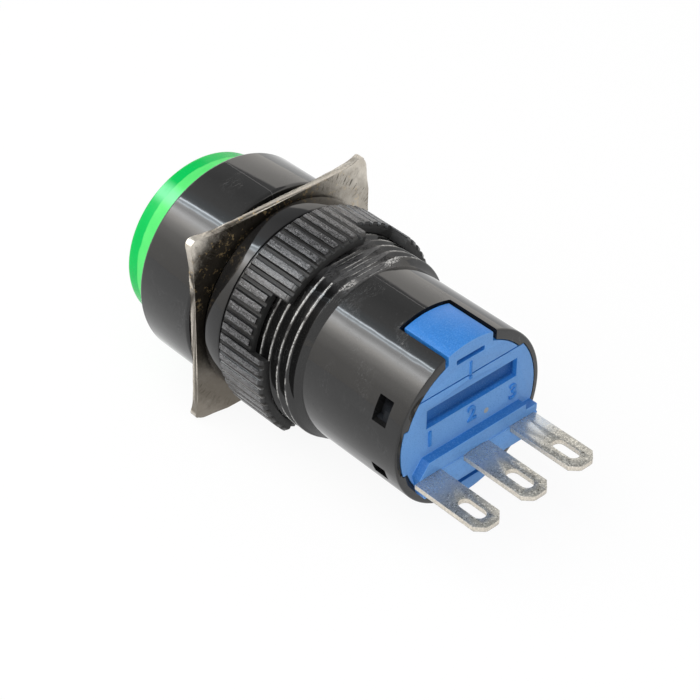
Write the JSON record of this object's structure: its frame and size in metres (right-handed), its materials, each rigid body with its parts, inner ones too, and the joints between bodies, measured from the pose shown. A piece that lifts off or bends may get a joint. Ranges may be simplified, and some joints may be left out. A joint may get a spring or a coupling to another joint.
{
  "type": "pushbutton switch",
  "caption": "Round panel-mount pushbutton switch: green lens, black threaded housing with knurled lock ring and sheet washer, blue contact block with solder lugs.",
  "frame": {"origin": "on the switch's axis, in the plane of the bezel's rear face that seats on the panel", "axes": "+Y along the axis from the button to the terminals, +Z towards the upper latch tab, +X completes the right-handed frame"},
  "size_m": [0.018, 0.0395, 0.018],
  "materials": {
    "black_plastic": "glossy moulded",
    "ring_plastic": "satin moulded",
    "green_lens": "translucent gloss",
    "white_plastic": "satin moulded",
    "blue_plastic": "satin moulded",
    "nickel_sheet": "nickel plated",
    "tinned_brass": "tin plated",
    "leaf_copper": "rolled",
    "contact_silver": "polished",
    "spring_steel": "drawn wire"
  },
  "bodies": {
    "housing": {"housing": "black_plastic", "contact_base": "blue_plastic", "contact_cover": "blue_plastic", "front_plate": "blue_plastic", "terminal_closed": "tinned_brass", "terminal_common": "tinned_brass", "terminal_open": "tinned_brass", "fixed_contact_closed": "contact_silver", "fixed_contact_open": "contact_silver", "return_spring": "spring_steel", "contact_spring": "spring_steel"},
    "button": {"lens": "green_lens", "diffuser": "white_plastic", "button_carrier": "white_plastic", "plunger": "white_plastic", "slider": "white_plastic", "drive_spring": "spring_steel"},
    "leaf": {"contact_leaf": "leaf_copper", "moving_contact": "contact_silver"},
    "washer": {"panel_washer": "nickel_sheet"},
    "ring": {"lock_ring": "ring_plastic"}
  },
  "joints": [
    {"name": "button_press", "type": "slide", "parent": "housing", "child": "button", "axis": [0, 1, 0], "range_m": [0, 0.0025], "stiffness_N_per_m": 450, "springref_m": -0.003, "deforming": ["return_spring", "drive_spring"]},
    {"name": "leaf_swing", "type": "hinge", "parent": "housing", "child": "leaf", "pos_m": [0.00445, 0.0174, 0], "axis": [0, 0, -1], "range_deg": [0, 7], "deforming": ["contact_spring"]},
    {"name": "washer_travel", "type": "slide", "parent": "housing", "child": "washer", "axis": [0, 1, 0], "range_m": [0, 0.01]},
    {"name": "ring_turn", "type": "hinge", "parent": "washer", "child": "ring", "pos_m": [0, 0.005, 0], "axis": [0, 1, 0], "range_deg": [0, 3600]}
  ],
  "couplings": [
    {"joint": "leaf_swing", "follows": "button_press", "rad_per_m": 41.88},
    {"joint": "ring_turn", "follows": "washer_travel", "rad_per_m": 6283.1}
  ]
}
